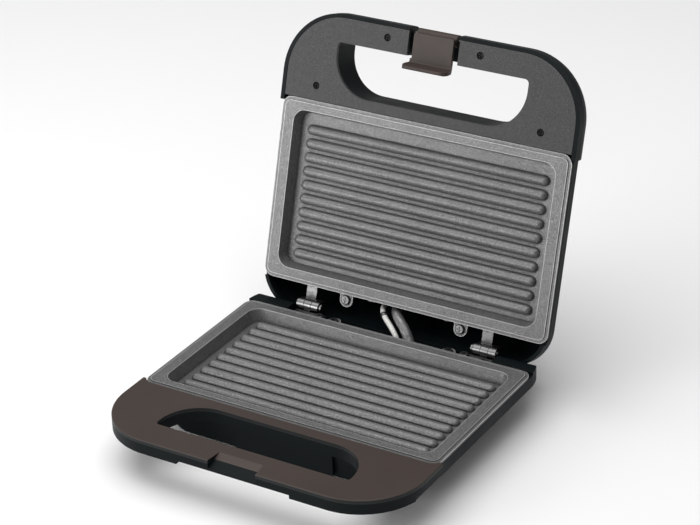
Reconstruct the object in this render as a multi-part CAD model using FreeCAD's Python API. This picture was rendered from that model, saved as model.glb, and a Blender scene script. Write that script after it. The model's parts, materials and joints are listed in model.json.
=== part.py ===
import FreeCAD
import Part
import math
import os
from FreeCAD import Vector

# A panini press: a base and a lid, each a hollow plastic shell with a loop handle at the front
# and a ribbed cast plate behind it, joined by two hinges at the back.  It is stored lid open.
#
# Working frame, mm: X to the right, Y to the back, Z up.  Z = 0 is the rim of the lower plate
# and Y = 0 lies at that plate's rear edge.  The lid is drawn closed and turned open at the end,
# and then everything is moved so that the origin lies on the table under the middle.
PLACE = Vector(0, 48.56, 35)

# ---- driving sizes
OPEN_ANGLE = 106.46
HINGE_Y = 14.5
HINGE_Z = -1.73
SEAM = 1.0                 # gap between the two plates' rims when closed

BASE_HALF = 111.3          # half width of the base behind its handle
HANDLE_HALF = 113.3
HANDLE_FRONT = -190.2
HANDLE_BACK = -124.0
HANDLE_CORNER = 45.0
BODY_FRONT = -130.0
BASE_REAR = 29.5
REAR_CORNER = 30.0
WALL = 2.5

COVER_THICK = 2.5
TRAY_FLOOR = -10.0         # underside of the base's handle
TRAY_SKIN = 2.0
BAR_HALF = 42.0            # the thinner middle of the grip
BAR_UNDER = -7.5
BOWL_BREAK = -10.5         # where the base's side turns inward
BASE_BOTTOM = -30.0
FOOT_TALL = 5.0

GRIP_HALF = 72.0           # opening behind the grip
GRIP_FRONT = -169.0
GRIP_BACK = -136.0
GRIP_R_FRONT = 3.0
GRIP_R_BACK = 28.0

SCOOP_HALF = 18.0
SCOOP_BACK = -178.5
SCOOP_DROP = 5.8

PLATE_HALF = 111.0
PLATE_FRONT = -127.2
PLATE_REAR = 1.3
PLATE_CORNER = 7.0
PLATE_LIP = 2.4
PLATE_STEP = 0.7
RIM_THICK = 2.5
POCKET_HALF = 101.0
POCKET_REAR = -7.5
POCKET_FRONT = -119.5
POCKET_DEEP = 9.0
POCKET_CORNER = 9.0
POCKET_SLOPE = 2.5
CAST = 3.0
RIDGES = 10
RIDGE_FIRST = -17.2
RIDGE_PITCH = 9.81
RIDGE_HALF = 93.5
RIDGE_R = 3.75

LID_HALF = 111.4
LID_REAR = 22.0
LID_REAR_INNER = 19.8
LID_FRONT = -190.3
LID_BREAK = 10.5
LID_TOP = 37.0
LID_HANDLE_TOP = 24.0
LID_HANDLE_ROUND = 17.0    # its big rounded front edge
LID_SLOPE = 0.44           # how far each side leans in per mm of height
PANEL_HALF = 110.0
PANEL_FRONT = -187.6
PANEL_CORNER = 42.0
PANEL_THICK = 2.2
LID_GRIP_HALF = 73.0
LID_GRIP_FRONT = -170.7
LID_GRIP_BACK = -134.8
LID_GRIP_DRAFT = 1.5
GAP_HALF = 19.0            # gap in the lid's grip that holds the latch
GAP_ROOF = 20.5

LATCH_Y = -185.5
LATCH_Z = 8.0
LATCH_HALF = 15.0
LATCH_LIP_HALF = 17.3
LATCH_FACE = 0.3
LATCH_LOW = -11.0

PIN_R = 2.0
KNUCKLE_R = 4.0
HINGE_INNER = 61.0
HINGE_OUTER = 78.0
BASE_KNUCKLE = (66.8, 72.2)
KNUCKLE_GAP = 0.4
LEAF = 1.8

HEATER_R = 3.25
HEATER_Z = -14.5

GLAND_X = -40.0
GLAND_Z = -21.0
GLAND_R = 4.4


# ---- drawing helpers
def rounded_wire(corners, place):
    """Closed wire through corners (u, v, radius), each rounded by a tangent arc."""
    starts = []
    middles = []
    ends = []
    count = len(corners)
    for i, (u, v, radius) in enumerate(corners):
        point = Vector(u, v, 0)
        to_last = Vector(*corners[i - 1][:2], 0) - point
        to_next = Vector(*corners[(i + 1) % count][:2], 0) - point
        to_last.normalize()
        to_next.normalize()
        half = to_last.getAngle(to_next) / 2
        reach = radius / math.tan(half)
        towards = to_last + to_next
        towards.normalize()
        starts.append(point + to_last * reach)
        ends.append(point + to_next * reach)
        middles.append(point + towards * (radius / math.sin(half) - radius))
    edges = []
    for i in range(count):
        if corners[i][2] > 0:
            arc = Part.Arc(place(starts[i]), place(middles[i]), place(ends[i]))
            edges.append(arc.toShape())
        after = starts[(i + 1) % count]
        if ends[i].distanceToPoint(after) > 1e-6:
            edges.append(Part.LineSegment(place(ends[i]), place(after)).toShape())
    return Part.Wire(edges)


def flat_wire(corners, z):
    return rounded_wire(corners, lambda p: Vector(p.x, p.y, z))


def prism(corners, z_low, z_high):
    """Outline in plan (x, y, radius), raised from z_low to z_high."""
    return Part.Face(flat_wire(corners, z_low)).extrude(Vector(0, 0, z_high - z_low))


def prism_x(corners, x_low, x_high):
    """Side profile (y, z, radius), run from x_low to x_high."""
    wire = rounded_wire(corners, lambda p: Vector(x_low, p.x, p.y))
    return Part.Face(wire).extrude(Vector(x_high - x_low, 0, 0))


def prism_y(corners, y_low, y_high):
    """Front profile (x, z, radius), run from y_low to y_high."""
    wire = rounded_wire(corners, lambda p: Vector(p.x, y_low, p.y))
    return Part.Face(wire).extrude(Vector(0, y_high - y_low, 0))


def rect(half, front, back, r_front, r_back):
    return [(-half, front, r_front), (half, front, r_front), (half, back, r_back), (-half, back, r_back)]


def taper(low, z_low, high, z_high):
    """Solid between two outlines at different heights."""
    return Part.makeLoft([flat_wire(low, z_low), flat_wire(high, z_high)], True, True)


def box(x_low, x_high, y_low, y_high, z_low, z_high):
    return Part.makeBox(x_high - x_low, y_high - y_low, z_high - z_low, Vector(x_low, y_low, z_low))


def post(x, y, z_low, z_high, radius):
    return Part.makeCylinder(radius, z_high - z_low, Vector(x, y, z_low))


def rod_x(x_low, x_high, y, z, radius):
    return Part.makeCylinder(radius, x_high - x_low, Vector(x_low, y, z), Vector(1, 0, 0))


def fuse(shapes):
    return shapes[0].multiFuse(shapes[1:]).removeSplitter()


def cut(shape, tools):
    return shape.cut(Part.makeCompound(tools) if len(tools) > 1 else tools[0])


def mirror_x(shape):
    return shape.mirror(Vector(0, 0, 0), Vector(1, 0, 0))


def both_sides(shape):
    return [shape, mirror_x(shape)]


def flip(shape):
    """The same thing drawn for the lid: mirrored about the middle of the seam."""
    return shape.mirror(Vector(0, 0, SEAM / 2), Vector(0, 0, 1))


def route_wire(points, bend):
    """Straight runs joined by tangent arcs of one radius."""
    edges = []
    last = points[0]
    for before, corner, after in zip(points, points[1:], points[2:]):
        back = (before - corner).normalize()
        ahead = (after - corner).normalize()
        half = back.getAngle(ahead) / 2
        reach = bend / math.tan(half)
        middle = corner + (back + ahead).normalize() * (bend / math.sin(half) - bend)
        start = corner + back * reach
        end = corner + ahead * reach
        edges.append(Part.LineSegment(last, start).toShape())
        edges.append(Part.Arc(start, middle, end).toShape())
        last = end
    edges.append(Part.LineSegment(last, points[-1]).toShape())
    return Part.Wire(edges)


def tube(points, bend, radius):
    path = route_wire(points, bend)
    ring = Part.Wire(Part.makeCircle(radius, points[0], points[1] - points[0]))
    return path.makePipeShell([ring], True, True)


def screw(x, y, seat, length, head_r=3.2, head_tall=1.6, shank_r=1.5, facing=1):
    """Pan-head cross screw; facing 1 has its head above the seat, -1 below it."""
    head = Part.makeCylinder(head_r, head_tall, Vector(0, 0, 0))
    head = head.makeFillet(0.6, [e for e in head.Edges if e.BoundBox.ZMin > head_tall - 1e-3])
    shank = Part.makeCylinder(shank_r, length, Vector(0, 0, -length))
    slot = 0.7
    cross = fuse([box(-head_r * 0.6, head_r * 0.6, -slot / 2, slot / 2, head_tall * 0.45, head_tall + 1),
                  box(-slot / 2, slot / 2, -head_r * 0.6, head_r * 0.6, head_tall * 0.45, head_tall + 1)])
    whole = head.fuse(shank).removeSplitter().cut(cross)
    if facing < 0:
        whole.rotate(Vector(0, 0, 0), Vector(1, 0, 0), 180)
    whole.translate(Vector(x, y, seat))
    return whole


# ---- shared outlines
BASE_HANDLE = rect(HANDLE_HALF, HANDLE_FRONT, HANDLE_BACK, HANDLE_CORNER, 0)
BASE_GRIP = rect(GRIP_HALF, GRIP_FRONT, GRIP_BACK, GRIP_R_FRONT, GRIP_R_BACK)
LID_HANDLE = rect(HANDLE_HALF, LID_FRONT, HANDLE_BACK, HANDLE_CORNER, 0)
LID_GRIP = rect(LID_GRIP_HALF, LID_GRIP_FRONT, LID_GRIP_BACK, GRIP_R_FRONT, GRIP_R_BACK)

LUG_AT = (45.0, 6.0)               # plate's rear fixing lug
LUG_LOW = -6.0
LUG_HIGH = -4.2
TONGUE_X = 92.0                    # plate's front tongues
LEAF_TOP = HINGE_Z - KNUCKLE_R + LEAF
LEAF_SCREWS = [(57.0, 6.6), (73.0, 4.6)]
COVER_SCREWS = [(60.0, -180.0), (95.0, -145.0)]
PANEL_SCREWS = [(86.0, -138.0), (35.3, -180.0)]
PANEL_SEAT = 3.2                   # where the panel screws' heads bear
PANEL_BOSS = 5.5
FEET = [(74.0, -112.0), (74.0, 13.0)]
REFLECTOR_POSTS = [(66.0, -92.0), (66.0, -34.0)]
SHOULDER_IN = 80.0
SHOULDER_REAR = 14.0
SHELF_Z = -9.9
SHELF_FAR = (40.0, -18.2)


def shoulder_cut():
    """Room above the base's rear shelf, where the lid's back swings down."""
    profile = [(2.0, -0.5, 0), (SHOULDER_REAR, -0.5, 4.0), (SHOULDER_REAR, SHELF_Z, 1.0), SHELF_FAR + (0,),
               (SHELF_FAR[0], 6, 0), (2.0, 6, 0)]
    return prism_x(profile, SHOULDER_IN, 120)


def shoulder_skin():
    inner = SHOULDER_REAR - 2.2
    profile = [(1.6, -0.5, 0), (SHOULDER_REAR, -0.5, 4.0), (SHOULDER_REAR, SHELF_Z, 1.0), SHELF_FAR + (0,),
               (SHELF_FAR[0], SHELF_FAR[1] - 2.3, 0), (inner, SHELF_Z - 1.9, 0), (inner, -2.9, 2.0), (1.6, -2.9, 0)]
    return prism_x(profile, SHOULDER_IN, 120)


# ---- base
def base_shell():
    body_break = rect(BASE_HALF, BODY_FRONT, BASE_REAR, 8, REAR_CORNER)
    body_floor = rect(94, -128, 24, 18, 18)
    tray = prism(BASE_HANDLE, TRAY_FLOOR, -COVER_THICK)
    bar_step = box(-BAR_HALF, BAR_HALF, -192, GRIP_FRONT + 2.2, TRAY_FLOOR - 1, BAR_UNDER)
    side_steps = both_sides(box(BASE_HALF, 116, -156, -120, TRAY_FLOOR - 1, -7))
    outer = fuse([cut(tray, [bar_step] + side_steps),
                  prism(body_break, BOWL_BREAK, -0.5),
                  taper(body_floor, BASE_BOTTOM, body_break, BOWL_BREAK)])
    clear_rim = box(-120, 120, -200, 1.6, -COVER_THICK, 2)
    clear_middle = box(-SHOULDER_IN, SHOULDER_IN, 2, 40, -14.5, 6)
    rear_cuts = [clear_rim, clear_middle] + both_sides(shoulder_cut())
    skins = both_sides(shoulder_skin())
    skins += both_sides(box(SHOULDER_IN, SHOULDER_IN + 2, 1.6, 40, -31, 0))

    lean = 3.3
    inner_break = rect(BASE_HALF - WALL, BODY_FRONT + WALL, BASE_REAR - WALL, 5.5, REAR_CORNER - WALL)
    inner_floor = rect(96.2 - lean, -126, 24.7 - WALL, 15.5, 15.5)
    hollow = fuse([prism(inner_break, BOWL_BREAK, 3),
                   taper(inner_floor, BASE_BOTTOM + WALL, inner_break, BOWL_BREAK)])
    tray_hollow = prism(rect(HANDLE_HALF - WALL, HANDLE_FRONT + WALL, -122, HANDLE_CORNER - WALL, 0),
                        TRAY_FLOOR + TRAY_SKIN, 1)
    raised_floor = box(-BAR_HALF - 2, BAR_HALF + 2, -192, GRIP_FRONT + 2.2, TRAY_FLOOR, BAR_UNDER + TRAY_SKIN)
    scoop_block = box(-SCOOP_HALF - 2, SCOOP_HALF + 2, -192, SCOOP_BACK + 3, TRAY_FLOOR, 0)
    grip_ring = prism(rect(GRIP_HALF + 2, GRIP_FRONT - 2, GRIP_BACK + 2, 5, 30), TRAY_FLOOR, 0)
    tray_hollow = cut(tray_hollow, [raised_floor, scoop_block, grip_ring])
    shell = outer.cut(cut(hollow, skins)).cut(tray_hollow)
    shell = cut(shell, [prism(BASE_GRIP, -12, 1), scoop_wedge()] + rear_cuts)

    floor = BASE_BOTTOM + WALL
    adds = [shell]
    for x, y in [LUG_AT]:
        adds += both_sides(post(x, y, floor - 1, LUG_LOW, 4.5))
    for x, y in LEAF_SCREWS:
        adds += both_sides(post(x, y, floor - 1, LEAF_TOP - LEAF, 3.8))
    for x, y in REFLECTOR_POSTS:
        adds += both_sides(post(x, y, floor - 1, -21.0, 4.0))
    adds += both_sides(box(TONGUE_X - 8, TONGUE_X + 8, -131.5, -129, TRAY_FLOOR + 1, -5.0))
    adds += [box(-37, 37, -131.5, -129, -28.3, TRAY_FLOOR + 1)]
    shell = fuse(adds)

    holes = []
    for x, y in [LUG_AT]:
        holes += both_sides(post(x, y, -20, 0, 1.5))
    for x, y in LEAF_SCREWS:
        holes += both_sides(post(x, y, -20, 0, 1.5))
    for x, y in REFLECTOR_POSTS:
        holes += both_sides(post(x, y, -26, -20, 1.5))
    for x, y in COVER_SCREWS:
        holes += both_sides(post(x, y, -12, 0, 1.6))
        holes += both_sides(post(x, y, -12, TRAY_FLOOR + 0.8, 3.4))
    for x, y in FEET:
        holes += both_sides(post(x, y, -31, -26, 3.0))
    holes += [gland_bore()]
    return cut(shell, holes)


def scoop_wedge():
    """Sloping thumb scoop in the middle of the grip."""
    side = prism_x([(SCOOP_BACK, 0, 0), (HANDLE_FRONT - 1, -SCOOP_DROP * 1.087, 0), (HANDLE_FRONT - 1, 1, 0),
                    (SCOOP_BACK, 1, 0)], -30, 30)
    plan = prism([(-SCOOP_HALF, -192, 0), (SCOOP_HALF, -192, 0), (SCOOP_HALF - 1.7, SCOOP_BACK + 0.2, 1.5),
                  (1.7 - SCOOP_HALF, SCOOP_BACK + 0.2, 1.5)], -12, 2)
    return side.common(plan)


def base_handle_cover():
    around_plate = prism(rect(PLATE_HALF + 0.7, PLATE_FRONT - 0.6, 20, PLATE_CORNER + 0.7, 0), -5, 5)
    cover = prism(BASE_HANDLE, -COVER_THICK, 0)
    top = [e for e in cover.Edges if e.BoundBox.ZMin > -0.01 and e.BoundBox.YMin < HANDLE_BACK - 0.5]
    cover = cover.makeFillet(0.8, top)
    cover = cut(cover, [prism(BASE_GRIP, -5, 5), around_plate, scoop_wedge()])
    bosses = []
    for x, y in COVER_SCREWS:
        bosses += both_sides(post(x, y, TRAY_FLOOR + TRAY_SKIN, -COVER_THICK, 3.0))
    cover = fuse([cover] + bosses)
    holes = []
    for x, y in COVER_SCREWS:
        holes += both_sides(post(x, y, TRAY_FLOOR, -COVER_THICK - 0.4, 1.3))
    return cut(cover, holes)


def cover_screws():
    screws = []
    for x, y in COVER_SCREWS:
        screws += both_sides(screw(x, y, TRAY_FLOOR + 0.8, 5.0, 2.8, 0.8, 1.3, -1))
    return Part.makeCompound(screws)


def gland_disc(radius, y_low, y_high):
    return Part.makeCylinder(radius, y_high - y_low, Vector(GLAND_X, y_low, GLAND_Z), Vector(0, 1, 0))


def gland_bore():
    return gland_disc(GLAND_R + 0.1, 15, 35)


def cord_gland():
    """Bush in the rear wall where a mains lead passes."""
    bush = fuse([gland_disc(6.3, 19.2, 21.2), gland_disc(GLAND_R, 21.2, 28.5), gland_disc(6.0, 28.4, 30.4)])
    return bush.cut(gland_disc(2.9, 15, 35))


def rubber_feet():
    feet = []
    for x, y in FEET:
        pad = post(x, y, BASE_BOTTOM - FOOT_TALL, BASE_BOTTOM, 7.5)
        pad = pad.makeFillet(1.0, [e for e in pad.Edges if e.BoundBox.ZMax < BASE_BOTTOM - FOOT_TALL + 0.01])
        foot = fuse([pad, post(x, y, BASE_BOTTOM, BASE_BOTTOM + WALL, 2.9),
                     post(x, y, BASE_BOTTOM + WALL, BASE_BOTTOM + WALL + 1.5, 4.0)])
        feet += both_sides(foot)
    return Part.makeCompound(feet)


# ---- plates and heaters
def heater_route():
    plan = [(30, 5), (30, -24), (84, -24), (84, -100), (-84, -100), (-84, -24), (-30, -24), (-30, 5)]
    return [Vector(x, y, HEATER_Z) for x, y in plan]


def heater():
    return tube(heater_route(), 14, HEATER_R)


def grill_plate():
    low = PLATE_LIP
    rim = prism(rect(PLATE_HALF - low, PLATE_FRONT + low, PLATE_REAR - low, PLATE_CORNER - low,
                     PLATE_CORNER - low), -RIM_THICK, 0)
    lip = prism(rect(PLATE_HALF, PLATE_FRONT, PLATE_REAR, PLATE_CORNER, PLATE_CORNER), -RIM_THICK, -PLATE_STEP)
    floor_z = -POCKET_DEEP - CAST
    mouth = rect(POCKET_HALF, POCKET_FRONT, POCKET_REAR, POCKET_CORNER, POCKET_CORNER)
    inner = POCKET_SLOPE
    bed = rect(POCKET_HALF - inner, POCKET_FRONT + inner, POCKET_REAR - inner, POCKET_CORNER - inner,
               POCKET_CORNER - inner)
    outer_mouth = rect(POCKET_HALF + CAST, POCKET_FRONT - CAST, POCKET_REAR + CAST, 12, 12)
    outer_bed = rect(POCKET_HALF + 0.5, POCKET_FRONT - 0.5, POCKET_REAR + 0.5, 9.5, 9.5)
    tub = taper(outer_bed, floor_z, outer_mouth, -1)
    hollow = taper(bed, -POCKET_DEEP, mouth, 0.001)
    lugs = both_sides(prism([(LUG_AT[0] - 5, -8, 0), (LUG_AT[0] + 5, -8, 0), (LUG_AT[0] + 5, 11, 4.9),
                             (LUG_AT[0] - 5, 11, 4.9)], LUG_LOW, LUG_HIGH))
    tongues = both_sides(box(TONGUE_X - 6, TONGUE_X + 6, -131, POCKET_FRONT - 1, -4.9, -2.7))
    channel = tube([Vector(p.x, min(p.y, -8.0), p.z) for p in heater_route()], 14, HEATER_R + 2)
    channel = channel.common(box(-120, 120, -200, 20, HEATER_Z - 9, floor_z + 1))
    plate = fuse([rim, lip, tub] + lugs + tongues + [channel])
    plate = plate.cut(hollow)
    for i in range(RIDGES):
        y = RIDGE_FIRST - i * RIDGE_PITCH
        reach = RIDGE_HALF - RIDGE_R
        bar = rod_x(-reach, reach, y, -POCKET_DEEP, RIDGE_R)
        ends = [Part.makeSphere(RIDGE_R, Vector(side * reach, y, -POCKET_DEEP)) for side in (-1, 1)]
        ridge = bar.multiFuse(ends).common(box(-100, 100, y - 5, y + 5, -POCKET_DEEP - 0.5, 0))
        plate = plate.fuse(ridge)
    bore = tube(heater_route(), 14, HEATER_R + 0.02)
    lug_holes = both_sides(post(LUG_AT[0], LUG_AT[1], -10, 0, 1.6))
    return cut(plate, [bore] + lug_holes).removeSplitter()


def plate_screws():
    return Part.makeCompound(both_sides(screw(LUG_AT[0], LUG_AT[1], LUG_HIGH, 10)))


def reflector():
    """Thin tray that keeps the heat off the shell."""
    tray = prism(rect(98, -118, -6, 10, 10), -21.0, -18.0)
    tray = tray.cut(prism(rect(97.5, -117.5, -6.5, 9.5, 9.5), -20.5, -17.0))
    holes = []
    for x, y in REFLECTOR_POSTS:
        holes += both_sides(post(x, y, -22, -20, 1.6))
    return cut(tray, holes)


def reflector_screws():
    screws = []
    for x, y in REFLECTOR_POSTS:
        screws += both_sides(screw(x, y, -20.5, 4.5, 2.6, 0.9, 1.4))
    return Part.makeCompound(screws)


# ---- hinge, right-hand side
def leaf_holes(z_low, z_high):
    return [post(x, y, z_low, z_high, 1.6) for x, y in LEAF_SCREWS]


def hinge_base_leaf():
    tongue = box(BASE_KNUCKLE[0], BASE_KNUCKLE[1], 9, HINGE_Y, LEAF_TOP - LEAF, LEAF_TOP)
    wide = box(53, 77.4, 0.5, 9.8, LEAF_TOP - LEAF, LEAF_TOP)
    knuckle = rod_x(BASE_KNUCKLE[0], BASE_KNUCKLE[1], HINGE_Y, HINGE_Z, KNUCKLE_R)
    leaf = fuse([tongue, wide, knuckle])
    return cut(leaf, [rod_x(60, 82, HINGE_Y, HINGE_Z, PIN_R)] + leaf_holes(-10, 0))


LID_STRAP_LOW = 6.5
LID_STRAP_SCREW = (65.3, 0.4)
STRAP_HALF = 4.0
LEFT_HINGE = -(HINGE_INNER + HINGE_OUTER)      # both lid leaves are the same part, moved by this


def both_hinges(shape):
    """A thing of the lid's right hinge, and the same thing at its left one."""
    return [shape, shape.translated(Vector(LEFT_HINGE, 0, 0))]


def hinge_lid_leaf():
    """Two rolled ears joined above the base's knuckle, and one narrow strap up under the plate."""
    front = HINGE_Y - KNUCKLE_R
    gap_low = BASE_KNUCKLE[0] - KNUCKLE_GAP
    gap_high = BASE_KNUCKLE[1] + KNUCKLE_GAP
    ears = [rod_x(HINGE_INNER, gap_low, HINGE_Y, HINGE_Z, KNUCKLE_R),
            rod_x(gap_high, HINGE_OUTER, HINGE_Y, HINGE_Z, KNUCKLE_R)]
    bridge = box(HINGE_INNER, HINGE_OUTER, front, front + LEAF, HINGE_Z, LID_STRAP_LOW - 2)
    bridge = bridge.cut(rod_x(gap_low, gap_high, HINGE_Y, HINGE_Z, KNUCKLE_R + 0.6))
    strap_left = LID_STRAP_SCREW[0] - STRAP_HALF
    strap_right = LID_STRAP_SCREW[0] + STRAP_HALF
    riser = box(strap_left, strap_right, front, front + LEAF, LID_STRAP_LOW - 3, LID_STRAP_LOW + LEAF)
    strap = prism([(strap_left, -3.6, 1), (strap_right, -3.6, 1), (strap_right, front + LEAF, 0),
                   (strap_left, front + LEAF, 0)], LID_STRAP_LOW, LID_STRAP_LOW + LEAF)
    leaf = fuse(ears + [bridge, riser, strap])
    return cut(leaf, [rod_x(60, 82, HINGE_Y, HINGE_Z, PIN_R + 0.05),
                      post(LID_STRAP_SCREW[0], LID_STRAP_SCREW[1], 5, 10, 1.6)])


def hinge_pin():
    shaft = rod_x(HINGE_INNER - 0.8, HINGE_OUTER + 0.8, HINGE_Y, HINGE_Z, PIN_R)
    head = rod_x(HINGE_INNER - 2.0, HINGE_INNER - 0.8, HINGE_Y, HINGE_Z, PIN_R + 1.0)
    return shaft.fuse(head).removeSplitter()


def base_hinge_screws():
    screws = []
    for x, y in LEAF_SCREWS:
        screws += both_sides(screw(x, y, LEAF_TOP, 8, 3.0, 1.5))
    return Part.makeCompound(screws)


def lid_hinge_screws():
    x, y = LID_STRAP_SCREW
    return Part.makeCompound(both_hinges(screw(x, y, LID_STRAP_LOW, 9, 2.8, 1.4, 1.5, -1)))


# ---- lid, drawn closed
def lid_handle(outline, z_low, skin):
    """Loop handle with a big rounded front edge, its roof lowered by skin."""
    top = LID_HANDLE_TOP - skin
    block = prism(outline, z_low, top)
    edges = [e for e in block.Edges if e.BoundBox.ZMin > top - 0.01 and e.BoundBox.YMin < outline[2][1] - 0.5]
    block = block.makeFillet(LID_HANDLE_ROUND - skin, edges)
    return block.common(prism_y(lid_front_profile(skin), -200, -90))


def lid_front_profile(skin):
    top = 40
    lean = LID_SLOPE * (top - LID_BREAK)
    half = HANDLE_HALF - skin
    return [(-half, -2, 0), (half, -2, 0), (half, LID_BREAK, 0), (half - lean, top, 0),
            (lean - half, top, 0), (-half, LID_BREAK, 0)]


def lid_bowl(half, front, back, round_r, z_top, edge_r):
    """Dome over the plate: sides lean in from the break, and the roof's edge is rounded."""
    rise = z_top - LID_BREAK
    lean = LID_SLOPE * rise
    low = rect(half, front, back, 6, round_r)
    high = rect(half - lean, front + rise * 0.604, back - lean, 6 + lean, round_r - 6)
    dome = taper(low, LID_BREAK, high, z_top)
    edges = [e for e in dome.Edges if e.BoundBox.ZMin > z_top - 0.01]
    return dome.makeFillet(edge_r, edges)


def lid_shell():
    handle = lid_handle(LID_HANDLE, SEAM, 0)
    skirt = prism(rect(LID_HALF, -132, LID_REAR, 0, REAR_CORNER), SEAM, LID_BREAK)
    outer = fuse([handle, skirt, lid_bowl(LID_HALF, -132, LID_REAR, REAR_CORNER, LID_TOP, 8)])

    inner_handle = lid_handle(rect(PANEL_HALF + 0.3, PANEL_FRONT - 0.3, -118, PANEL_CORNER + 0.3, 0), 0, WALL)
    inner_skirt = prism(rect(LID_HALF - WALL, -129.5, LID_REAR_INNER, 0, REAR_CORNER - 2.2), 0, LID_BREAK)
    inner_bowl = lid_bowl(LID_HALF - WALL - 0.2, -129.3, LID_REAR_INNER - 0.2, REAR_CORNER - 2.4,
                          LID_TOP - WALL, 5.5)
    hollow = fuse([inner_handle, inner_skirt, inner_bowl])
    ring = lid_grip(2.4, PANEL_THICK + SEAM, 30)
    cheeks = box(-GAP_HALF - 2.5, GAP_HALF + 2.5, -192, LID_GRIP_FRONT, SEAM + PANEL_THICK, 30)
    shell = outer.cut(cut(hollow, [ring, cheeks]))

    gap = box(-GAP_HALF, GAP_HALF, -195, LID_GRIP_FRONT + 4, 0, GAP_ROOF)
    rim_top = SEAM + RIM_THICK
    plate_room = [prism(rect(PLATE_HALF + 0.7, PLATE_FRONT - 0.6, 1.6, PLATE_CORNER + 0.7, 0), 0, rim_top),
                  box(-120, 120, HANDLE_BACK, 1.6, 0, rim_top)]
    shell = cut(shell, [lid_grip(0, 0, 31), gap] + plate_room)

    roof = LID_TOP - 1
    bosses = both_sides(post(LUG_AT[0], LUG_AT[1], SEAM - LUG_LOW, roof, 4.5))
    bosses += both_hinges(post(LID_STRAP_SCREW[0], LID_STRAP_SCREW[1], LID_STRAP_LOW + LEAF, roof, 3.8))
    for x, y in REFLECTOR_POSTS:
        bosses += both_sides(post(x, y, SEAM + 21.0, roof, 4.0))
    for (x, y), boss_top in zip(PANEL_SCREWS, (22.5, 20.2)):
        bosses += both_sides(post(x, y, PANEL_BOSS, boss_top, 3.6))
    shell = fuse([shell] + [boss.common(outer) for boss in bosses])
    holes = both_sides(post(LUG_AT[0], LUG_AT[1], 4, 20, 1.5))
    holes += both_hinges(post(LID_STRAP_SCREW[0], LID_STRAP_SCREW[1], 4, 20, 1.5))
    for x, y in REFLECTOR_POSTS:
        holes += both_sides(post(x, y, 20, 28, 1.5))
    for x, y in PANEL_SCREWS:
        holes += both_sides(post(x, y, 4, 11.5, 1.3))
    holes += [rod_x(-22.5, 22.5, LATCH_Y, LATCH_Z, 1.5)]
    holes += both_sides(post(LENS_X, LENS_Y, LID_TOP - 6, LID_TOP + 2, LENS_R))
    return cut(shell, holes)


def lid_grip(grow, z_low, z_high):
    """Solid that fills the opening behind the lid's grip, with its draft, larger by grow."""
    full = LID_GRIP_DRAFT
    low = rect(LID_GRIP_HALF + grow, LID_GRIP_FRONT - grow, LID_GRIP_BACK + grow, GRIP_R_FRONT + grow,
               GRIP_R_BACK + grow)
    high = rect(LID_GRIP_HALF + grow - full, LID_GRIP_FRONT - grow + full, LID_GRIP_BACK + grow - full,
                GRIP_R_FRONT + grow, GRIP_R_BACK + grow - full)
    return taper(low, z_low, high, z_high)


def lid_handle_panel():
    z_top = SEAM + PANEL_THICK
    outline = rect(PANEL_HALF, PANEL_FRONT, PLATE_FRONT - 0.6, PANEL_CORNER, 0)
    panel = prism(outline, SEAM, z_top)
    panel = cut(panel, [lid_grip(0, SEAM - 1, 31), box(-GAP_HALF - 0.3, GAP_HALF + 0.3, -192, LID_GRIP_FRONT + 3,
                                                       0, 5)])
    wells = []
    for x, y in PANEL_SCREWS:
        wells += both_sides(post(x, y, z_top - 0.2, PANEL_BOSS, 3.6))
    panel = fuse([panel] + wells)
    holes = []
    for x, y in PANEL_SCREWS:
        holes += both_sides(post(x, y, 0, PANEL_SEAT, 2.6))
        holes += both_sides(post(x, y, 0, 8, 1.4))
    return cut(panel, holes)


def panel_screws():
    screws = []
    for x, y in PANEL_SCREWS:
        screws += both_sides(screw(x, y, PANEL_SEAT, 8.0, 2.4, 1.4, 1.3, -1))
    return Part.makeCompound(screws)


LENS_X = 11.0
LENS_Y = -104.0
LENS_R = 4.0


def lens():
    dome = Part.makeSphere(6.0, Vector(LENS_X, LENS_Y, LID_TOP - 4.4))
    cap = dome.common(post(LENS_X, LENS_Y, LID_TOP - 3, LID_TOP + 3, LENS_R - 0.05))
    flange = post(LENS_X, LENS_Y, LID_TOP - WALL - 1.5, LID_TOP - WALL - 0.01, LENS_R + 1.2)
    neck = post(LENS_X, LENS_Y, LID_TOP - WALL - 0.5, LID_TOP - 1, LENS_R - 0.05)
    return fuse([cap, flange, neck])


def neon_lamp():
    return post(LENS_X, LENS_Y, LID_TOP - WALL - 12, LID_TOP - WALL - 1.5, 2.2)


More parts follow.
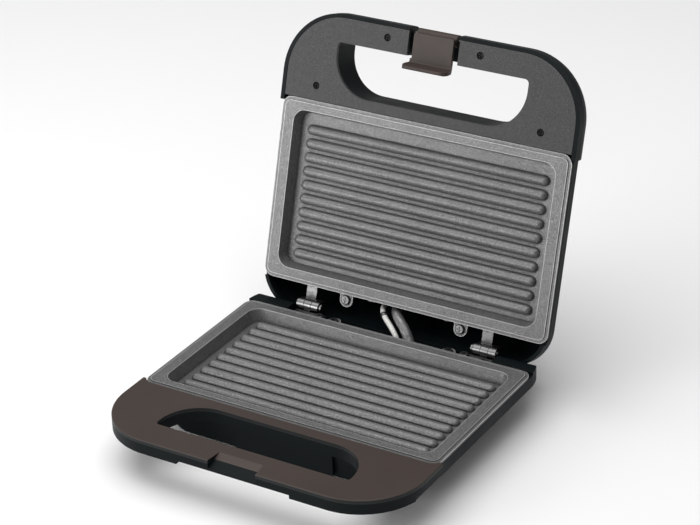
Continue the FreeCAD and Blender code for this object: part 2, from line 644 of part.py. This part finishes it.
def latch_clip():
    top = LATCH_FACE + 2.8
    knuckle = rod_x(-LATCH_HALF, LATCH_HALF, LATCH_Y, LATCH_Z, 4.2)
    web = box(-LATCH_HALF, LATCH_HALF, LATCH_Y - 1, LATCH_Y + 3, top - 1, LATCH_Z - 1)
    flap = prism([(-LATCH_HALF, LATCH_Y - 1.5, 1.5), (LATCH_HALF, LATCH_Y - 1.5, 1.5), (LATCH_HALF, -168, 0),
                  (-LATCH_HALF, -168, 0)], LATCH_FACE, top)
    lip = prism_x([(-169.5, top, 0), (-165.0, top, 3.2), (-163.2, LATCH_LOW, 1.0), (-165.6, LATCH_LOW, 1.0),
                   (-167.0, LATCH_FACE, 1.2), (-169.5, LATCH_FACE, 0)], -LATCH_LIP_HALF, LATCH_LIP_HALF)
    ends = prism_y([(-LATCH_LIP_HALF, LATCH_LOW, 5.0), (LATCH_LIP_HALF, LATCH_LOW, 5.0),
                    (LATCH_LIP_HALF, -2.5, 1.0), (LATCH_HALF, top + 0.1, 0), (-LATCH_HALF, top + 0.1, 0),
                    (-LATCH_LIP_HALF, -2.5, 1.0)], -175, -160)
    hook = prism_x([(-169.6, top - 1, 0), (-167.1, top - 1, 0), (-167.1, 7.5, 0.5), (-169.6, 6.3, 0.5)], -10, 10)
    clip = fuse([knuckle, web, flap, lip.common(ends), hook])
    return clip.cut(rod_x(-30, 30, LATCH_Y, LATCH_Z, 1.55))


def latch_pin():
    return rod_x(-22.4, 22.4, LATCH_Y, LATCH_Z, 1.49)


# ---- inside the base
def thermostat():
    body = post(0, -62, -18.8, -12.0, 7.5)
    ears = box(-12, 12, -65, -59, -13.2, -12.0)
    tags = both_sides(box(9, 12, -63.5, -60.5, -17, -13.2))
    return fuse([body, ears] + tags)


def terminal_block():
    block = box(2, 36, 11, 21, -27.5, -17.5)
    wells = [post(x, 16, -20, -17, 2.6) for x in (8, 19, 30)]
    return cut(block, wells)


def opened(point):
    """Where a point of the closed lid lies when the lid is open."""
    turn = FreeCAD.Rotation(Vector(1, 0, 0), -OPEN_ANGLE)
    hinge = Vector(0, HINGE_Y, HINGE_Z)
    return hinge + turn.multVec(point - hinge)


def lead_route(x_lid, x_base, forward):
    """Over the hinge gap, from inside the lid to inside the base, in the open pose."""
    nearer = Vector(0, -forward, 0)
    return [opened(Vector(x_lid - 1, 5, 20)), opened(Vector(x_lid, 4.2, 5.5)) + nearer,
            Vector(x_base, 9.2, -3.6) + nearer, Vector(x_base + 3, 5.0, -16.4)]


def wire_sleeve():
    return tube(lead_route(-8.6, 14.5, 0), 9, 3.6)


def earth_route():
    return lead_route(-18.6, 6.0, 2.5)


def earth_sleeve():
    return tube(earth_route(), 9, 1.9)


def sleeve_clip():
    """Small crimped ring round the thin sleeve."""
    route = earth_route()
    along = (route[2] - route[1]).normalize()
    centre = route[1] + along * 5.5
    ring = Part.makeCylinder(2.7, 3.0, centre, along)
    return ring.cut(Part.makeCylinder(1.92, 20, centre - along * 8, along))


# ---- put together
BASE_PARTS = {
    "base_shell": base_shell,
    "base_handle_cover": base_handle_cover,
    "base_cover_screws": cover_screws,
    "rubber_feet": rubber_feet,
    "lower_grill_plate": grill_plate,
    "lower_plate_screws": plate_screws,
    "lower_heater": heater,
    "lower_reflector": reflector,
    "lower_reflector_screws": reflector_screws,
    "hinge_base_leaf_right": hinge_base_leaf,
    "hinge_base_leaf_left": lambda: mirror_x(hinge_base_leaf()),
    "hinge_pin_right": hinge_pin,
    "hinge_pin_left": lambda: mirror_x(hinge_pin()),
    "base_hinge_screws": base_hinge_screws,
    "thermostat": thermostat,
    "terminal_block": terminal_block,
    "cord_gland": cord_gland,
    "wire_sleeve": wire_sleeve,
    "earth_sleeve": earth_sleeve,
    "sleeve_clip": sleeve_clip,
}
LID_PARTS = {
    "lid_shell": lid_shell,
    "lid_handle_panel": lid_handle_panel,
    "panel_screws": panel_screws,
    "upper_grill_plate": lambda: flip(grill_plate()),
    "upper_plate_screws": lambda: flip(plate_screws()),
    "upper_heater": lambda: flip(heater()),
    "upper_reflector": lambda: flip(reflector()),
    "upper_reflector_screws": lambda: flip(reflector_screws()),
    "hinge_lid_leaf_right": hinge_lid_leaf,
    "hinge_lid_leaf_left": lambda: both_hinges(hinge_lid_leaf())[1],
    "lid_hinge_screws": lid_hinge_screws,
    "power_lens": lens,
    "power_lamp": neon_lamp,
    "ready_lens": lambda: mirror_x(lens()),
    "ready_lamp": lambda: mirror_x(neon_lamp()),
    "latch_pin": latch_pin,
    "latch_clip": latch_clip,
}


def save(name, shape):
    shape.translate(PLACE)
    shape.exportStep(os.path.join("parts", name + ".step"))
    low = shape.optimalBoundingBox()
    print(name, "solids", len(shape.Solids), "valid", shape.isValid(), "volume", round(shape.Volume, 1),
          "y", round(low.YMin, 2), round(low.YMax, 2), "z", round(low.ZMin, 2), round(low.ZMax, 2))


os.makedirs("parts", exist_ok=True)
for name, make in BASE_PARTS.items():
    save(name, make())
for name, make in LID_PARTS.items():
    shape = make()
    shape.rotate(Vector(0, HINGE_Y, HINGE_Z), Vector(1, 0, 0), -OPEN_ANGLE)
    save(name, shape)
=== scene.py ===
import math
import json
import bpy
from mathutils import Matrix, Vector


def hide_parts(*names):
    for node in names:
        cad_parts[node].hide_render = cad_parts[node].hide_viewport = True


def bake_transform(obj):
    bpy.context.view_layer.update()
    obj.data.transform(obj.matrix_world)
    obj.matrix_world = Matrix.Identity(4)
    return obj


# Panini press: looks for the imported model.  Lengths are metres in the model's own frame.
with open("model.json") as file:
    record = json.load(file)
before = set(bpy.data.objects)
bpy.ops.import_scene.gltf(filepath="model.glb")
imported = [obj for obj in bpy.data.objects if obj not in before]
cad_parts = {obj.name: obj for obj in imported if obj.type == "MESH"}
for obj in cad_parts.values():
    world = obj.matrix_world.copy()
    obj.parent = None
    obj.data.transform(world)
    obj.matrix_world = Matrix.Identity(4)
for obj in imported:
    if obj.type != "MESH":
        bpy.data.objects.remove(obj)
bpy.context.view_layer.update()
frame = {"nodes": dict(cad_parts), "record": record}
nodes = frame["nodes"]
MM = 0.001

# ---- camera: the view that matches the photograph, turned about the object
AZIMUTH = math.radians(31.81)
ELEVATION = math.radians(27.41)
ROLL = math.radians(-1.96)
DISTANCE = 1.6029
LOOK_AT = Vector((-0.01514, 0.03072, 0.0949))
LENS = 124.13
SENSOR_WIDTH = 36
CLIP_END = 20


def add_camera():
    back = Vector((math.sin(AZIMUTH) * math.cos(ELEVATION), -math.cos(AZIMUTH) * math.cos(ELEVATION),
                   math.sin(ELEVATION)))
    level_right = (-back).cross(Vector((0, 0, 1))).normalized()
    level_up = level_right.cross(-back)
    right = math.cos(ROLL) * level_right + math.sin(ROLL) * level_up
    up = -math.sin(ROLL) * level_right + math.cos(ROLL) * level_up
    data = bpy.data.cameras.new("camera")
    data.lens = LENS
    data.sensor_width = SENSOR_WIDTH
    data.clip_end = CLIP_END
    camera = bpy.data.objects.new("camera", data)
    turn = Matrix((right, up, back)).transposed().to_4x4()
    camera.matrix_world = Matrix.Translation(LOOK_AT + back * DISTANCE) @ turn
    bpy.context.scene.collection.objects.link(camera)
    bpy.context.scene.camera = camera


# ---- material building blocks
NOISE_LOW = 0.3                    # nearly all of a noise texture's values lie between these two
NOISE_HIGH = 0.7
BEVEL_SAMPLES = 6
OPENNESS_SAMPLES = 8
GRAIN_SCALE = 1400
GRAIN_DEPTH = 0.03 * MM


class Shader:
    """A material and short calls that add and join its nodes."""

    def __init__(self, name):
        self.material = bpy.data.materials.new(name)
        self.material.use_nodes = True
        self.tree = self.material.node_tree
        self.surface = self.tree.nodes["Principled BSDF"]
        self.place = self.add("ShaderNodeTexCoord").outputs["Object"]

    def add(self, kind, **inputs):
        """New node, with its inputs named as in Blender but with _ for each space."""
        node = self.tree.nodes.new(kind)
        for key, value in inputs.items():
            self.feed(node.inputs[key.replace("_", " ")], value)
        return node

    def feed(self, socket, value):
        """Joins another node's output to the socket, or sets it to a constant."""
        if hasattr(value, "links"):
            self.tree.links.new(value, socket)
        else:
            socket.default_value = value

    def set(self, **inputs):
        for key, value in inputs.items():
            self.feed(self.surface.inputs[key.replace("_", " ")], value)

    def noise(self, scale, detail=2.0, roughness=0.5, where=None):
        node = self.add("ShaderNodeTexNoise", Vector=where or self.place, Scale=scale, Detail=detail,
                        Roughness=roughness)
        return node.outputs["Fac"]

    def cells(self, scale):
        return self.add("ShaderNodeTexVoronoi", Vector=self.place, Scale=scale).outputs["Distance"]

    def stretched(self, x, y, z):
        node = self.add("ShaderNodeMapping", Vector=self.place)
        node.inputs["Scale"].default_value = (x, y, z)
        return node.outputs["Vector"]

    def span(self, value, low, high, out_low=0, out_high=1):
        """The value's range from low to high, moved to out_low to out_high and cut off beyond them."""
        node = self.add("ShaderNodeMapRange", Value=value)
        node.inputs["From Min"].default_value = low
        node.inputs["From Max"].default_value = high
        node.inputs["To Min"].default_value = out_low
        node.inputs["To Max"].default_value = out_high
        return node.outputs["Result"]

    def spread(self, noise, out_low=0, out_high=1):
        """A noise's usual range, moved to out_low to out_high."""
        return self.span(noise, NOISE_LOW, NOISE_HIGH, out_low, out_high)

    def mix(self, factor, first, second):
        node = self.tree.nodes.new("ShaderNodeMix")
        node.data_type = "RGBA"
        self.feed(node.inputs["Factor"], factor)
        self.feed(node.inputs["A"], first)
        self.feed(node.inputs["B"], second)
        return node.outputs["Result"]

    def times(self, first, second):
        node = self.tree.nodes.new("ShaderNodeMath")
        node.operation = "MULTIPLY"
        self.feed(node.inputs[0], first)
        self.feed(node.inputs[1], second)
        return node.outputs["Value"]

    def bump(self, height, depth, strength=1.0):
        return self.add("ShaderNodeBump", Height=height, Distance=depth, Strength=strength).outputs["Normal"]

    def openness(self, reach):
        """1 in the open and less in creases no wider than reach."""
        node = self.add("ShaderNodeAmbientOcclusion", Distance=reach)
        node.samples = OPENNESS_SAMPLES
        return node.outputs["AO"]

    def edges(self, width):
        """1 along the part's outward edges and 0 on its faces: where a rounded normal leaves the true one."""
        rounded = self.add("ShaderNodeBevel", Radius=width)
        rounded.samples = BEVEL_SAMPLES
        agree = self.tree.nodes.new("ShaderNodeVectorMath")
        agree.operation = "DOT_PRODUCT"
        self.feed(agree.inputs[0], rounded.outputs["Normal"])
        self.feed(agree.inputs[1], self.add("ShaderNodeNewGeometry").outputs["True Normal"])
        turned = self.span(agree.outputs["Value"], 0.98, 0.86)
        outward = self.span(self.openness(width * 4), 0.7, 0.9)
        return self.times(turned, outward)

    def facing_up(self):
        """1 on faces that look up and 0 on upright ones."""
        split = self.tree.nodes.new("ShaderNodeSeparateXYZ")
        self.feed(split.inputs[0], self.add("ShaderNodeTexCoord").outputs["Normal"])
        return self.span(split.outputs["Z"], 0.35, 0.5)


def shade(colour, factor=1.0):
    return tuple(channel * factor for channel in colour) + (1.0,)


def grey(level):
    return shade((1, 1, 1), level)


# ---- materials
def moulded(name, colour, roughness, gloss=0.25, painted_shade_side_colour=None):
    """Moulded plastic: mould grain, faint cloudiness, edges painted a little lighter as a highlight, and
    upright faces painted darker as shade when a side colour is given.
    """
    m = Shader(name)
    body = m.mix(m.spread(m.noise(scale=22, detail=3)), shade(colour, 0.94), shade(colour, 1.06))
    # painted shade: upright faces take the darker side colour in place of the top's colour
    if painted_shade_side_colour:
        body = m.mix(m.facing_up(), shade(painted_shade_side_colour), body)
    # painted highlight: outward edges are painted lighter in the base colour
    painted_edge_highlight = m.span(m.edges(0.6 * MM), 0, 1, 0, 0.45)
    grain = m.noise(scale=GRAIN_SCALE, detail=3, roughness=0.6)
    m.set(Base_Color=m.mix(painted_edge_highlight, body, shade(colour, 1.9)),
          Roughness=m.spread(m.noise(scale=60, detail=3), roughness - 0.04, roughness + 0.05),
          Normal=m.bump(grain, GRAIN_DEPTH),
          Specular_IOR_Level=gloss)
    return m.material


def spark_textured(name, colour):
    """Plastic with a fine spark texture; its crests are painted lighter as a highlight and its pits painted
    darker as shade.
    """
    m = Shader(name)
    spark = m.noise(scale=1700, detail=3, roughness=0.7)
    # painted highlight on the texture's crests and painted shade in its pits
    crest = m.span(spark, 0.53, 0.66)
    painted_pit_shade = m.span(spark, 0.46, 0.36)
    body = m.mix(painted_pit_shade, shade(colour), shade(colour, 0.4))
    m.set(Base_Color=m.mix(crest, body, shade(colour, 2.4)),
          Roughness=m.span(crest, 0, 1, 0.5, 0.36),
          Normal=m.bump(spark, 0.2 * MM),
          Specular_IOR_Level=0.45)
    return m.material


def speckled_coating(name):
    """Grey non-stick coat with fine flecks; creases painted dark as shade and edges painted light as a
    highlight.
    """
    m = Shader(name)
    coat = m.mix(m.spread(m.noise(scale=30, detail=3)), grey(0.112), grey(0.135))
    light_flecks = m.span(m.noise(scale=2500, roughness=0.7), 0.54, 0.66)
    dark_flecks = m.span(m.noise(scale=1900, roughness=0.7), 0.45, 0.34)
    flecked = m.mix(light_flecks, m.mix(dark_flecks, coat, grey(0.04)), grey(0.42))
    # painted shade: creases narrower than the reach are painted near-black
    painted_crease_shade = m.span(m.openness(2.8 * MM), 0.85, 0.4, 0, 0.9)
    pitting = m.noise(scale=1900, detail=3, roughness=0.6)
    # painted highlight: outward edges are painted light grey
    m.set(Base_Color=m.mix(m.edges(0.7 * MM), m.mix(painted_crease_shade, flecked, grey(0.012)), grey(0.85)),
          Roughness=m.span(light_flecks, 0, 1, 0.46, 0.34),
          Normal=m.bump(pitting, 0.12 * MM),
          Metallic=0.5)
    return m.material


def plated(name, colour, roughness):
    """Plated or drawn metal: streaks along the sheet and small stains."""
    m = Shader(name)
    streaks = m.noise(scale=700, detail=3, roughness=0.6, where=m.stretched(0.12, 1, 1))
    stain = m.span(m.noise(scale=160, detail=4), 0.45, 0.75)
    m.set(Base_Color=m.mix(stain, shade(colour), shade(colour, 0.62)),
          Roughness=m.spread(streaks, roughness - 0.07, roughness + 0.1),
          Normal=m.bump(streaks, 0.02 * MM),
          Metallic=1.0)
    return m.material


def soft_black(name, colour, roughness):
    """Rubber or soft plastic with a trace of dust."""
    m = Shader(name)
    dust = m.span(m.noise(scale=450, detail=4, roughness=0.7), 0.55, 0.8, 0, 0.25)
    m.set(Base_Color=m.mix(dust, shade(colour), shade(colour, 3.0)),
          Roughness=m.spread(m.noise(scale=90), roughness - 0.06, roughness + 0.06),
          Normal=m.bump(m.noise(scale=2500, detail=3), 0.04 * MM))
    return m.material


def tinted_lens(name, colour):
    """Clear coloured plastic, pebbled to spread a lamp's light."""
    m = Shader(name)
    pebbles = m.cells(scale=420)
    m.set(Base_Color=m.mix(m.span(pebbles, 0, 0.6), shade(colour, 0.55), shade(colour, 1.1)),
          Roughness=0.12,
          Normal=m.bump(pebbles, 0.15 * MM, strength=0.5),
          Transmission_Weight=0.35,
          Coat_Weight=0.6)
    return m.material


def fired_clay(name, colour, speck_colour):
    """Unglazed ceramic with darker specks."""
    m = Shader(name)
    speck = m.span(m.noise(scale=900, detail=3), 0.6, 0.75, 0, 0.5)
    m.set(Base_Color=m.mix(speck, shade(colour), shade(speck_colour)),
          Roughness=0.75,
          Normal=m.bump(m.noise(scale=1200, detail=3), 0.06 * MM))
    return m.material


def woven_sleeve(name, colour, clear, depth):
    """Glass-fibre sleeving: two sets of slanted threads that cross under a thin varnish."""
    m = Shader(name)
    threads = []
    for slant in (1, -1):
        wave = m.add("ShaderNodeTexWave", Vector=m.stretched(1, slant, 0.9), Scale=420, Distortion=0.4)
        wave.bands_direction = "DIAGONAL"
        threads.append(wave.outputs["Fac"])
    braid = m.mix(0.5, threads[0], threads[1])
    m.set(Base_Color=m.mix(m.span(braid, 0.2, 0.8), shade(colour, 0.55), shade(colour, 1.15)),
          Roughness=m.span(braid, 0, 1, 0.4, 0.28),
          Normal=m.bump(braid, depth),
          Transmission_Weight=clear,
          Coat_Weight=0.5)
    return m.material


BROWN = (0.047, 0.034, 0.029)
NEAR_BLACK = (0.0042, 0.0065, 0.0073)
CHARCOAL = (0.03, 0.03, 0.03)
CLAY = (0.72, 0.7, 0.64)
CLAY_SPECK = (0.42, 0.38, 0.33)
RECIPES = {
    "brown_plastic": (moulded, BROWN, 0.46),
    "dark_plastic": (moulded, NEAR_BLACK, 0.44, 0.08),
    "charcoal_panel": (spark_textured, CHARCOAL),
    "nonstick_aluminium": (speckled_coating,),
    "zinc_steel": (plated, (0.17, 0.17, 0.17), 0.3),
    "black_steel": (plated, (0.012, 0.012, 0.012), 0.4),
    "heater_steel": (plated, (0.2, 0.18, 0.16), 0.5),
    "reflector_sheet": (plated, (0.7, 0.7, 0.69), 0.28),
    "rubber_black": (soft_black, (0.018, 0.018, 0.018), 0.8),
    "black_plastic": (soft_black, (0.02, 0.02, 0.02), 0.5),
    "ceramic_white": (fired_clay, CLAY, CLAY_SPECK),
    "sleeve_grey": (woven_sleeve, (0.15, 0.15, 0.15), 0.3, 0.04 * MM),
    "lens_red": (tinted_lens, (0.5, 0.02, 0.01)),
    "lens_green": (tinted_lens, (0.03, 0.35, 0.06)),
    "lamp_glass": (tinted_lens, (0.8, 0.7, 0.6)),
}
LOOKS = {slot: make(slot, *details) for slot, (make, *details) in RECIPES.items()}
# brown plastic whose upright faces are painted near-black as shade
BROWN_WITH_PAINTED_SHADE_SIDES = moulded("brown_plastic_painted_shade_sides", BROWN, 0.46, painted_shade_side_colour=NEAR_BLACK)
WHITE_BRAID = woven_sleeve("white_braid", (0.74, 0.73, 0.70), 0.0, 0.1 * MM)


def finish_nodes():
    for part in frame["record"]["subparts"]:
        mesh = nodes[part["node"]].data
        mesh.materials.clear()
        mesh.materials.append(LOOKS[part["material_slot"]])
    # the handle cover's upright faces are painted darker as shade
    nodes["base_handle_cover"].data.materials[0] = BROWN_WITH_PAINTED_SHADE_SIDES


# ---- lead sleeves over the hinge: they bend between the base and the lid
LID_INSIDE = Vector((0, 86.6, 36.2)) * MM
LID_MOUTH = Vector((0, 72.9, 41.1)) * MM
BASE_MOUTH = Vector((0, 57.75, 31.4)) * MM
BASE_INSIDE = Vector((0, 53.55, 18.6)) * MM
LID_END_SHIFT = -1 * MM            # how far a sleeve's hidden ends lie to the side of its mouths
BASE_END_SHIFT = 3 * MM
WIDE_RADIUS = 3.6 * MM
THIN_RADIUS = 1.9 * MM
TUBE_STEPS = 72                    # along each of a sleeve's two bends
TUBE_SIDES = 40
RING_FIRST = int(TUBE_STEPS * 0.70)
RING_LAST = int(TUBE_STEPS * 0.83)
CRIMP_SIDES = 4                    # width of each of the crimp's two dents, in tube sides


def sleeve_path(x_lid, x_base, forward):
    """A sleeve's middle line, from inside the lid to inside the base."""
    return rounded_path([
        LID_INSIDE + Vector((x_lid + LID_END_SHIFT, 0, 0)),
        LID_MOUTH + Vector((x_lid, -forward, 0)),
        BASE_MOUTH + Vector((x_base, -forward, 0)),
        BASE_INSIDE + Vector((x_base + BASE_END_SHIFT, 0, 0))])


def rounded_path(points):
    """One quadratic curve for each inner point, and the curves meet halfway between inner points."""
    starts = [points[0]] + [(a + b) / 2 for a, b in zip(points[1:-2], points[2:-1])]
    ends = starts[1:] + [points[-1]]
    path = []
    for start, corner, end in zip(starts, points[1:-1], ends):
        for i in range(TUBE_STEPS):
            t = i / TUBE_STEPS
            path.append(start * (1 - t) ** 2 + corner * 2 * t * (1 - t) + end * t ** 2)
    return path + [ends[-1]]


def build_tube(name, path, radius_at, material):
    """Tube round a path, with its radius given by radius_at(step, side)."""
    rings = []
    count = len(path)
    for i, centre in enumerate(path):
        along = (path[min(i + 1, count - 1)] - path[max(i - 1, 0)]).normalized()
        side = along.cross(Vector((0, 0, 1))).normalized()
        up = side.cross(along)
        ring = []
        for k in range(TUBE_SIDES):
            turn = 2 * math.pi * k / TUBE_SIDES
            ring.append(centre + (side * math.cos(turn) + up * math.sin(turn)) * radius_at(i, k))
        rings.append(ring)
    points = [point for ring in rings for point in ring]
    faces = [tuple(reversed(range(TUBE_SIDES))),
             tuple(range((count - 1) * TUBE_SIDES, count * TUBE_SIDES))]
    for i in range(count - 1):
        for k in range(TUBE_SIDES):
            after = (k + 1) % TUBE_SIDES
            faces.append((i * TUBE_SIDES + k, i * TUBE_SIDES + after, (i + 1) * TUBE_SIDES + after,
                          (i + 1) * TUBE_SIDES + k))
    mesh = bpy.data.meshes.new(name)
    mesh.from_pydata(points, [], faces)
    mesh.shade_smooth()
    mesh.materials.append(material)
    piece = bpy.data.objects.new(name, mesh)
    bpy.context.scene.collection.objects.link(piece)
    return piece


def crinkled(step, side):
    """Radius of a soft sleeve that has flattened into shallow folds."""
    fold = math.sin(step * 0.42 + 1.3 * math.sin(side * 0.31)) * math.cos(side * 0.47 + step * 0.05)
    return WIDE_RADIUS * (0.97 + 0.03 * fold)


def braided(step, side):
    """Radius of a braid whose crossed strands stand out of the surface."""
    strands = math.sin(step * 1.1 + side * 0.94) * math.sin(step * 1.1 - side * 0.94)
    return THIN_RADIUS * (0.95 + 0.05 * strands)


def crimped(step, side):
    """Radius of a ring with turned-in ends and the two dents of the crimping tool."""
    bulge = math.sin(math.pi * (step + 0.5) / (RING_LAST - RING_FIRST))
    dent = side % (TUBE_SIDES // 2) < CRIMP_SIDES
    return THIN_RADIUS * (1.16 + 0.16 * bulge - 0.05 * dent)


def bend_with_lid(piece, node):
    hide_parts(node)
    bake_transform(piece)


def add_sleeves():
    wide = sleeve_path(-8.6 * MM, 14.5 * MM, 0)
    thin = sleeve_path(-18.6 * MM, 6.0 * MM, 2.5 * MM)
    ring = thin[RING_FIRST:RING_LAST]
    bend_with_lid(build_tube("wire_sleeve.soft", wide, crinkled, LOOKS["sleeve_grey"]), "wire_sleeve")
    bend_with_lid(build_tube("earth_sleeve.braided", thin, braided, WHITE_BRAID), "earth_sleeve")
    bend_with_lid(build_tube("sleeve_clip.ring", ring, crimped, LOOKS["zinc_steel"]), "sleeve_clip")


# ---- floor and light
FLOOR_REACH = 6.0
SKY_STRENGTH = 0.33


def add_floor():
    corners = [(-FLOOR_REACH, -FLOOR_REACH, 0), (FLOOR_REACH, -FLOOR_REACH, 0),
               (FLOOR_REACH, FLOOR_REACH, 0), (-FLOOR_REACH, FLOOR_REACH, 0)]
    mesh = bpy.data.meshes.new("floor")
    mesh.from_pydata(corners, [], [(0, 1, 2, 3)])
    floor = bpy.data.objects.new("floor", mesh)
    bpy.context.scene.collection.objects.link(floor)
    m = Shader("floor")
    m.set(Base_Color=m.mix(m.noise(scale=3), grey(0.89), grey(0.91)), Roughness=0.9)
    mesh.materials.append(m.material)


def add_light(name, place, aim, size, power):
    """Square lamp of the given size and power, aimed at a point."""
    data = bpy.data.lights.new(name, "AREA")
    data.shape = "SQUARE"
    data.size = size
    data.energy = power
    light = bpy.data.objects.new(name, data)
    light.location = place
    light.rotation_euler = (Vector(aim) - Vector(place)).to_track_quat("-Z", "Y").to_euler()
    bpy.context.scene.collection.objects.link(light)


def add_sky():
    world = bpy.data.worlds.new("sky")
    world.use_nodes = True
    background = world.node_tree.nodes["Background"]
    background.inputs["Color"].default_value = grey(1)
    background.inputs["Strength"].default_value = SKY_STRENGTH
    bpy.context.scene.world = world


add_camera()
finish_nodes()
add_sleeves()
add_floor()
add_sky()
add_light("overhead", place=(-0.2, -0.1, 1.7), aim=(0, 0, 0), size=2.0, power=29)
add_light("front", place=(-0.92, -1.17, 0.45), aim=(0, 0.04, 0.12), size=0.8, power=13)
bpy.context.scene.view_settings.view_transform = "Standard"
